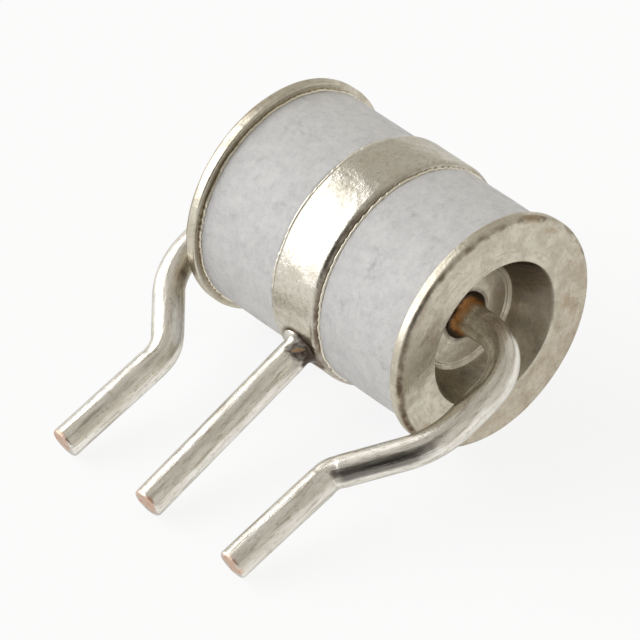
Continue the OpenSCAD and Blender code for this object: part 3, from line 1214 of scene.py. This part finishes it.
@dataclass
class Lead(Piece):
    """A tinned round wire with a flared, welded foot and a cut tip."""

    wire_r: float = 0.525
    reach: float = 10.9
    flare: float = 0.28
    tip_edge: float = 0.1
    tip_rounds: int = 9
    tin_wave: float = 0.005
    bare_middle: Span = (0.06, 0.12)
    bare_r: Span = (0.49, 0.35)
    columns: int = 72
    spacing: float = 0.045
    seed: int = 91

    def sides(self) -> Array:
        """Angle round the wire, column by column."""
        return np.linspace(0, TURN, self.columns, endpoint=False)[None, :]

    def around(self) -> Array:
        """Map coordinate round the wire, with the seam at both ends."""
        return np.linspace(0, TURN, self.columns + 1) * self.wire_r

    def body_rows(self, top: float, length: float) -> Array:
        """Distance along the wire of the rows between the flare's top and the tip's edge."""
        return np.linspace(top, length - self.tip_edge, math.ceil((length - top) / self.spacing))[1:]

    def tip_rows(self, length: float) -> tuple[Array, Array]:
        """Rows of the cut tip.

        Formula: a quarter circle rounds the wire into its end face, and the face runs in to its middle.

        Args:
            length: Distance along the wire of its end face.

        Returns:
            Distance along the wire and radius, row by row.
        """
        turn = np.linspace(0, math.pi / 2, self.tip_rounds)[1:]
        face = np.linspace(self.wire_r - self.tip_edge, 0, self.tip_rounds)[1:]
        along = np.concatenate([length - self.tip_edge * (1 - np.sin(turn)), np.full(len(face), length)])
        return along, np.concatenate([self.wire_r - self.tip_edge * (1 - np.cos(turn)), face])

    def sweep(self, middle: Array, angle_of_run: Array, side: Array, radius: Array) -> Array:
        """Points of the wire.

        Formula: from the wire's middle, radius times cosine along the run's left-hand normal in the plane of
        the leads, and radius times sine square to that plane.

        Args:
            middle: Middle of the wire in the plane of the leads, row by row or point by point.
            angle_of_run: Direction of the run in that plane, row by row.
            side: Angle round the wire, column by column.
            radius: Radius at each point.

        Returns:
            The grid of points.
        """
        across = radius * np.cos(side)
        run = angle_of_run[:, None]
        x = middle[..., 0] - np.sin(run) * across
        y = middle[..., 1] + np.cos(run) * across
        return np.stack(np.broadcast_arrays(x, y, radius * np.sin(side)), -1)

    def tip_copper(self, side: Array, along: Array, radius: Array, length: float) -> Array:
        """Bare copper on the cut face and over its upper edge, with tin dragged over its far side.

        Formula: a smooth disc off the middle of the face, with its border torn and its cover smeared by
        ripples.

        Args:
            side: Angle round the wire.
            along: Distance along the wire.
            radius: Distance from the wire's middle.
            length: Distance along the wire of its end face.

        Returns:
            How bare the copper is at each point.
        """
        on_face = smooth(length - 1.5 * self.tip_edge, length - 1.05 * self.tip_edge, along)
        x, y = self.bare_middle
        away = np.hypot(radius * np.cos(side) - x, radius * np.sin(side) - y)
        torn = 0.08 * ripple(side, radius, (1, 7), 0.4, self.seed + 5)
        smeared = (0.75 + 0.4 * ripple(side, radius, (2, 6), 0.3, self.seed + 8)).clip(0.3, 1)
        return on_face * smooth(*self.bare_r, away + torn) * smeared

    def skin(self, side: Array, along: Array) -> Array:
        """Uneven thickness of the dipped tin, as millimetres taken from the radius."""
        runs = 0.6 * ripple(side, along, (1, 5), 2.2, self.seed)
        return self.tin_wave * share(runs + 0.4 * ripple(side, along, (3, 11), 0.7, self.seed + 1))


@dataclass
class EndLead(Lead):
    """Lead out of an end recess, down past the flange, in along a jog and on to its tip."""

    end: End = End.RIGHT
    half_length: float = 5.0
    flange_r: float = 4.0
    recess_depth: float = 1.35
    gap: float = 0.9
    out_bend: float = 1.8
    drop: float = 0.0
    jog: float = 37.0
    jog_bend: float = 3.0
    end_bend: float = 0.6
    tip_x: float = 4.23
    lean: float = -2.0
    rim: float = 0.05
    flare_length: float = 0.6
    flare_rows: int = 20
    foot_middle_r: float = 0.3
    line_step: float = 0.02
    thinning: float = 0.01
    crease_depth: float = 0.008
    lump_depth: float = 0.02
    easing: int = 25
    bend_soil: float = 0.5
    tint: Span = (0.74, 0.14)
    tint_heat: float = 0.53
    burn: Span = (0.2, 0.05)
    burn_heat: float = 0.35
    scorch: Span = (0.66, 0.3)
    scorch_heat: float = 0.24
    scorch_side: float = 1.9
    # Painted dark reflection along the jog's lower side: its strength, its reach down the lead and its arc
    # round the wire.
    jog_reflection: float = 0.0
    jog_reflection_drop: Arc = ((3.8, 4.8), (6.2, 6.75))
    jog_reflection_side: Arc = ((0.06, 0.3), (0.72, 1.05))

    def centre_line(self) -> Array:
        """Middle of the wire in the plane of the leads.

        Formula: the jog's foot is where its slope from the jog's top meets the line of the leaning end.

        Returns:
            Points through the bends in short steps, as distance along the tube's axis and across it.
        """
        floor = self.half_length - self.recess_depth
        leg = self.half_length + self.gap + self.wire_r
        jog_top = self.flange_r + self.drop
        slope, lean = math.tan(math.radians(self.jog)), math.tan(math.radians(self.lean))
        jog_foot = jog_top + (leg - self.tip_x + (self.reach - jog_top) * lean) / (slope + lean)
        corners = [
            (floor, 0, 0), (leg, 0, self.out_bend), (leg, -jog_top, self.jog_bend),
            (self.tip_x - (self.reach - jog_foot) * lean, -jog_foot, self.end_bend),
            (self.tip_x, -self.reach, 0)]
        return rounded_path(corners, self.line_step, arc_step=BEND_STEP)

    def rows(self, length: float) -> tuple[Array, Array]:
        """Rows of the wire from its foot to its tip.

        Formula: the flare is a hollow arc, tangent to the wire, that widens it by the flare over the flare's
        length.

        Args:
            length: Length of the wire.

        Returns:
            Distance along the wire and radius, row by row.
        """
        top = self.rim + self.flare_length
        hollow = (self.flare**2 + self.flare_length**2) / (2 * self.flare)
        curve = np.linspace(math.asin(self.flare_length / hollow), 0, self.flare_rows)
        foot_s = np.concatenate([[0, 0, 0], top - hollow * np.sin(curve)])
        cap_r = [0, self.foot_middle_r, self.wire_r + self.flare]
        foot_r = np.concatenate([cap_r, self.wire_r + hollow * (1 - np.cos(curve))])
        body_s = self.body_rows(top, length)
        tip_s, tip_r = self.tip_rows(length)
        along = np.concatenate([foot_s, body_s, tip_s])
        return along, np.concatenate([foot_r, np.full(len(body_s), self.wire_r), tip_r])

    def surface(self) -> Surface:
        """Wire along its bent middle line, flared at the foot, creased inside its bends and cut at its tip.

        Formula: the radius less the skin, the bends' thinning and the creases is carried along the line. The
        bends are where the line's direction turns, and their insides where the wire faces the turn.

        Returns:
            The wire, from the middle of its foot to the middle of its tip.
        """
        line = self.centre_line()
        reach = run_length(line)
        length = reach[-1]
        along, radius = self.rows(length)
        heading = np.unwrap(np.arctan2(np.gradient(line[:, 1], reach), np.gradient(line[:, 0], reach)))
        middle = np.stack([np.interp(along, reach, line[:, i]) for i in (0, 1)], -1)[:, None, :]
        eased = np.convolve(np.gradient(heading, reach), np.ones(self.easing) / self.easing, "same")
        bend = np.interp(along, reach, eased)
        side = self.sides()
        s = along[:, None]
        bent = smooth(0.15, 0.5, np.abs(bend))[:, None]
        inside = bent * np.clip(np.cos(side) * np.sign(bend)[:, None], 0, 1) ** 2
        creases = share(ripple(side, s, (1, 4), 0.45, self.seed + 2))
        lumps = smooth(self.rim + self.flare_length, 0.0, s) * ripple(side, s, (1, 5), 0.6, self.seed + 3)
        wide = smooth(0, self.wire_r, radius)[:, None]
        taken = self.thinning * bent + self.skin(side, s) + self.crease_depth * inside * creases
        full = radius[:, None] - wide * taken + self.lump_depth * wide * lumps.clip(-1, 0)
        # Painted dark reflection along the jog's lower side.
        below = -middle[..., 1] + 0.1 * ripple(side, s, (1, 5), 0.4, self.seed + 6)
        heat = smooth(*self.tint, s) * self.tint_heat + smooth(*self.burn, s) * self.burn_heat
        far_side = smooth(0.8, 0.2, np.cos(side - self.scorch_side))
        scorched = self.scorch_heat * smooth(*self.scorch, s) * far_side
        along_jog = band(*self.jog_reflection_drop, below)
        masks = {
            Mask.HEAT: heat + scorched,
            Mask.COPPER: self.tip_copper(side, s, full, length),
            Mask.STAIN: self.jog_reflection * along_jog * band(*self.jog_reflection_side, side),
            Mask.CREASE: self.bend_soil * inside * smooth(0.35, 0.9, creases)}
        points = self.sweep(middle, np.interp(along, reach, heading), side, full)
        points[..., 0] *= self.end.value
        return Surface(points, self.around(), run_length(np.stack([along, radius], 1)), masks, False)


@dataclass
class CentreLead(Lead):
    """Straight lead whose flared foot is saddled to the ring."""

    flare: float = 0.22
    ring_r: float = 3.925
    tip_x: float = 0.28
    lean: float = 1.6
    foot_rows: int = 14
    cap_shares: tuple[float, float, float] = (0, 0.35, 0.6)
    lump_depth: float = 0.05
    crust_length: Span = (0.38, 0.06)
    crust_side: float = 0.1
    crust_cover: float = 1.7
    spot_start: float = 0.62
    spot_size: Span = (0.12, 0.16)
    spot_past: float = 0.04
    spot_heat: float = 0.5

    def across(self, rows: Array) -> Array:
        """Values row by row, the same in each column."""
        return np.repeat(rows[:, None], self.columns, 1)

    def surface(self) -> Surface:
        """Straight wire from the ring to its tip, with a lumpy welded foot that follows the ring.

        Formula: below the flare's top each row slides from the ring's surface, at the root of ring radius
        squared less offset squared, to the level row above it.

        Returns:
            The wire, from the middle of its foot to the middle of its tip.
        """
        lean = math.radians(self.lean)
        length = self.reach / math.cos(lean)
        top = self.ring_r + self.flare
        wide = self.wire_r + self.flare
        side = self.sides()
        rise = np.linspace(0, 1, self.foot_rows)
        cap_r = np.array(self.cap_shares) * wide
        body_s = self.body_rows(top, length)
        tip_s, tip_r = self.tip_rows(length)
        cap = np.sqrt(self.ring_r**2 - (cap_r[:, None] * np.sin(side)) ** 2)
        saddle = np.sqrt(self.ring_r**2 - (wide * np.sin(side)) ** 2)
        foot = saddle * (1 - rise[:, None]) + top * rise[:, None]
        s = np.concatenate([cap, foot, self.across(np.concatenate([body_s, tip_s]))])
        hollow = np.clip(top - foot, 0, self.flare)
        foot_r = wide - np.sqrt(self.flare**2 - hollow**2)
        wire_r = np.concatenate([np.full(len(body_s), self.wire_r), tip_r])
        radius = np.concatenate([self.across(cap_r), foot_r, self.across(wire_r)])
        near_foot = smooth(top + 0.5, self.ring_r - 0.1, s)
        lumps = ripple(side, s, (1, 4), 0.8, self.seed + 3)
        taken = self.skin(side, s) + self.lump_depth * near_foot * share(-lumps)
        radius = radius - smooth(0, self.wire_r, radius) * taken
        start = self.tip_x - self.reach * math.tan(lean)
        middle = np.stack([start + s * math.sin(lean), -s * math.cos(lean)], -1)
        points = self.sweep(middle, np.full(len(s), lean - math.pi / 2), side, radius)
        masks = self.weld(side, s, lumps)
        masks[Mask.COPPER] = self.tip_copper(side, s, radius, length)
        wire_s = np.concatenate([body_s, tip_s + wide - tip_r])
        along = np.concatenate([cap_r, wide + rise, wide + 1 + wire_s - top])
        return Surface(points, self.around(), along, masks, False)

    def weld(self, side: Array, along: Array, lumps: Array) -> dict[Mask, Array]:
        """Dark crust on one side of the foot, with a tinted spot in it.

        Formula: the crust is a smooth step along the wire times one round it, both torn by ripples, and the
        spot is a bell curve along a slanting line.

        Args:
            side: Angle round the wire.
            along: Distance along the wire from the tube's axis.
            lumps: Unevenness of the foot.

        Returns:
            The masks of the weld.
        """
        past_foot = along - self.ring_r - self.flare
        torn = 0.05 * lumps + 0.07 * ripple(side, along, (3, 16), 0.3, self.seed + 7)
        crust = smooth(*self.crust_length, past_foot + torn)
        crust = crust * smooth(-0.15, 0.35, np.cos(side - self.crust_side) - torn)
        off_line = (np.cos(side) - self.spot_start + past_foot) / self.spot_size[0]
        off_middle = (past_foot - self.spot_past) / self.spot_size[1]
        spot = np.exp(-off_line**2 - off_middle**2) * (np.sin(side) > 0)
        return {Mask.HEAT: self.spot_heat * spot, Mask.SOOT: (self.crust_cover * crust).clip(0, 1)}


@dataclass(frozen=True)
class Lining:
    """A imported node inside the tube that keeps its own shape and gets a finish."""

    node: str
    finish: Finish

    def dress(self) -> None:
        """Puts the finish on the node."""
        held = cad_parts[self.node]
        held.data.materials.clear()
        held.data.materials.append(self.finish.material())
        LOG.info("%s: packed shape, %s", self.node, self.finish.name)


@dataclass(frozen=True)
class Studio:
    """Pale floor, one large softbox, a grey room with a dark side near the camera, and the camera itself.

    Azimuths go from -Y towards +X and heights from the floor up, in degrees. The room's tones change with the
    height of the line of sight, from 0 at the horizon to 1 overhead. The floor and the softbox are in metres.
    """

    room: Colour = (0.60, 0.58, 0.54)
    horizon: Colour = (0.86, 0.86, 0.86)
    horizon_fade: Span = (0.16, 0.02)
    overhead: Colour = (0.53, 0.51, 0.475)
    overhead_rise: Span = (0.5, 0.95)
    dark: Colour = (0.09, 0.085, 0.08)
    dark_azimuth: float = 30.0
    dark_width: Span = (42.0, 26.0)
    dark_top: Span = (68.0, 52.0)
    floor_tone: Colour = (0.95, 0.95, 0.95)
    floor_rough: float = 0.9
    floor_shine: float = 0.1
    floor_lift: float = 0.86
    floor_size: float = 6.0
    box_azimuth: float = -58.0
    box_height: float = 29.0
    box_distance: float = 0.7
    box_size: Span = (0.88, 0.71)
    box_glow: float = 2.2
    box_tone: Colour = (0.97, 0.99, 1.04)
    lens: float = 353.16
    sensor: float = 36.0
    clip: Span = (0.005, 20.0)
    eye: tuple[float, float, float] = (114.807, -94.8305, 127.3997)
    right: tuple[float, float, float] = (0.66495203, 0.7455714, -0.04429535)
    up: tuple[float, float, float] = (-0.4546978, 0.45115432, 0.76792558)

    def add_floor(self) -> None:
        """Lays a plain floor under the part, nearly white to the camera and in reflections."""
        half = self.floor_size / 2
        mesh = bpy.data.meshes.new("floor")
        corners = [(-half, -half, 0), (half, -half, 0), (half, half, 0), (-half, half, 0)]
        mesh.from_pydata(corners, [], [(0, 1, 2, 3)])
        material, sheet = blank_material("floor")
        plain = sheet.node("BsdfPrincipled", {
            "Base Color": self.floor_tone, "Roughness": self.floor_rough,
            "Specular IOR Level": self.floor_shine})
        rays = sheet.node("LightPath").outputs
        seen = sheet.add(sheet.add(rays["Is Camera Ray"], rays["Is Glossy Ray"]), rays["Is Transmission Ray"])
        lift = sheet.times(sheet.math("MINIMUM", seen, 1.0), self.floor_lift)
        white = sheet.node("Emission", {"Color": (1, 1, 1), "Strength": 1.0})
        mixed = sheet.node("MixShader", {0: lift, 1: plain.outputs[0], 2: white.outputs[0]})
        sheet.node("OutputMaterial", {"Surface": mixed.outputs[0]})
        mesh.materials.append(material)
        floor = put("floor", mesh)

    def add_softbox(self) -> None:
        """Hangs the softbox at its azimuth and height, facing the part."""
        turn, lift = math.radians(self.box_azimuth), math.radians(self.box_height)
        way = Vector((math.sin(turn) * math.cos(lift), -math.cos(turn) * math.cos(lift), math.sin(lift)))
        lamp = bpy.data.lights.new("softbox", "AREA")
        lamp.shape = "RECTANGLE"
        lamp.size, lamp.size_y = self.box_size
        lamp.color = self.box_tone
        lamp.energy = self.box_glow * math.pi * lamp.size * lamp.size_y
        facing = way.to_track_quat("Z", "Y").to_matrix().to_4x4()
        put("softbox", lamp).matrix_world = Matrix.Translation(way * self.box_distance) @ facing

    def add_room(self) -> None:
        """Surrounds the part with a grey room, pale at the horizon and dark on one side."""
        world = bpy.data.worlds.new("room")
        bpy.context.scene.world = world
        world.use_nodes = True
        sheet = Sheet(world.node_tree)
        way = sheet.node("TexCoord").outputs["Generated"]
        height = sheet.node("SeparateXYZ", {0: way}).outputs["Z"]
        level = sheet.node("VectorMath", {0: way, 1: (1, 1, 0)}, operation="MULTIPLY").outputs["Vector"]
        level = sheet.node("VectorMath", {0: level}, operation="NORMALIZE").outputs["Vector"]
        turn = math.radians(self.dark_azimuth)
        aim = (math.sin(turn), -math.cos(turn), 0)
        facing = sheet.node("VectorMath", {0: level, 1: aim}, operation="DOT_PRODUCT").outputs["Value"]
        wide, narrow = (math.cos(math.radians(angle)) for angle in self.dark_width)
        high, low = (math.sin(math.radians(angle)) for angle in self.dark_top)
        shade = sheet.times(sheet.spread(facing, wide, narrow), sheet.spread(height, high, low))
        tone = sheet.coat(
            self.room,
            (sheet.spread(height, *self.overhead_rise), self.overhead),
            (sheet.spread(height, *self.horizon_fade), self.horizon),
            (shade, self.dark))
        back = sheet.node("Background", {"Color": tone, "Strength": 1.0})
        sheet.node("OutputWorld", {"Surface": back.outputs[0]})

    def add_camera(self) -> None:
        """Stands the camera where the photograph was taken from."""
        camera = bpy.data.cameras.new("camera")
        camera.lens = self.lens
        camera.sensor_width = self.sensor
        camera.clip_start, camera.clip_end = self.clip
        back = np.cross(self.right, self.up)
        turn = Matrix(np.stack([self.right, self.up, back], 1).tolist()).to_4x4()
        holder = put("camera", camera)
        holder.matrix_world = Matrix.Translation(Vector(self.eye) * MM) @ turn
        bpy.context.scene.camera = holder

    def set_up(self) -> None:
        """Builds the whole studio."""
        bpy.context.scene.view_settings.view_transform = "Standard"
        self.add_floor()
        self.add_softbox()
        self.add_room()
        self.add_camera()
        LOG.info("studio: floor, softbox, room and camera")


def tube_pieces() -> list[Piece]:
    """The pieces that show, in the order in which the tube is put together.

    Returns:
        Electrodes, sleeves, braze joints and leads, each with its finish.
    """
    end_plate = NickelPlate("nickel_end_plate")
    ring_plate = NickelPlate(
        "nickel_ring_plate", light=(0.69, 0.655, 0.575), dark=(0.61, 0.57, 0.475), drift=(0.66, 0.625, 0.55),
        rough=(0.2, 0.3), strokes=(0.5, 11.0), stroke_depth=0.005, scratch=0.1, dimples=3.4,
        dimple_depth=0.025)
    alumina = FiredAlumina("fired_alumina")
    braze = SilverBraze("silver_braze")
    tin = TinnedCopper("tinned_copper")
    pieces: list[Piece] = [CentreElectrode("centre_electrode", Slot.PLATED, ring_plate)]
    for end in End:
        side = end.name.lower()
        step = 100 * (end is End.LEFT)
        pieces += [
            BrazeJoint(f"{side}_inner_braze", Slot.BRAZE, braze, end=end, start=1.0, seed=71 + step),
            CeramicSleeve(f"{side}_ceramic_sleeve", Slot.ALUMINA, alumina, end=end, seed=51 + step),
            BrazeJoint(f"{side}_outer_braze", Slot.BRAZE, braze, end=end, start=4.44, seed=81 + step),
            EndElectrode(f"{side}_end_electrode", Slot.PLATED, end_plate, end=end, seed=11 + step)]
    pieces += [
        # The right lead carries a painted dark reflection along its jog.
        EndLead("right_lead", Slot.TINNED, tin, jog_reflection=0.86),
        EndLead("left_lead", Slot.TINNED, tin, end=End.LEFT, gap=0.3, out_bend=1.5, drop=0.2, jog=45.5,
                jog_bend=2.5, end_bend=1.25, tip_x=3.67, lean=2.3, seed=191),
        CentreLead("centre_lead", Slot.TINNED, tin, seed=291)]
    return pieces


def linings() -> list[Lining]:
    """The layers inside the tube.

    Returns:
        The coating and the stripes of each end, each with its finish.
    """
    soot_black = (0.055, 0.055, 0.06)
    salt = DryLayer("activating_salt")
    graphite = DryLayer("graphite_film", light=soot_black, dark=(0.03, 0.03, 0.033), drift=soot_black,
                        rough=(0.45, 0.7))
    layers = {"emissive_coating": salt, "ignition_stripes": graphite}
    return [Lining(f"{end.name.lower()}_{layer}", finish) for end in End for layer, finish in layers.items()]


def main() -> None:
    """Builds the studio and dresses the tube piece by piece."""
    logging.basicConfig(level=logging.INFO, format="%(name)s: %(message)s")
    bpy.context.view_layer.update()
    Studio().set_up()
    rest = RestFrame()
    for piece in tube_pieces():
        piece.build(rest)
    for lining in linings():
        lining.dress()


if __name__ == "__main__":
    main()
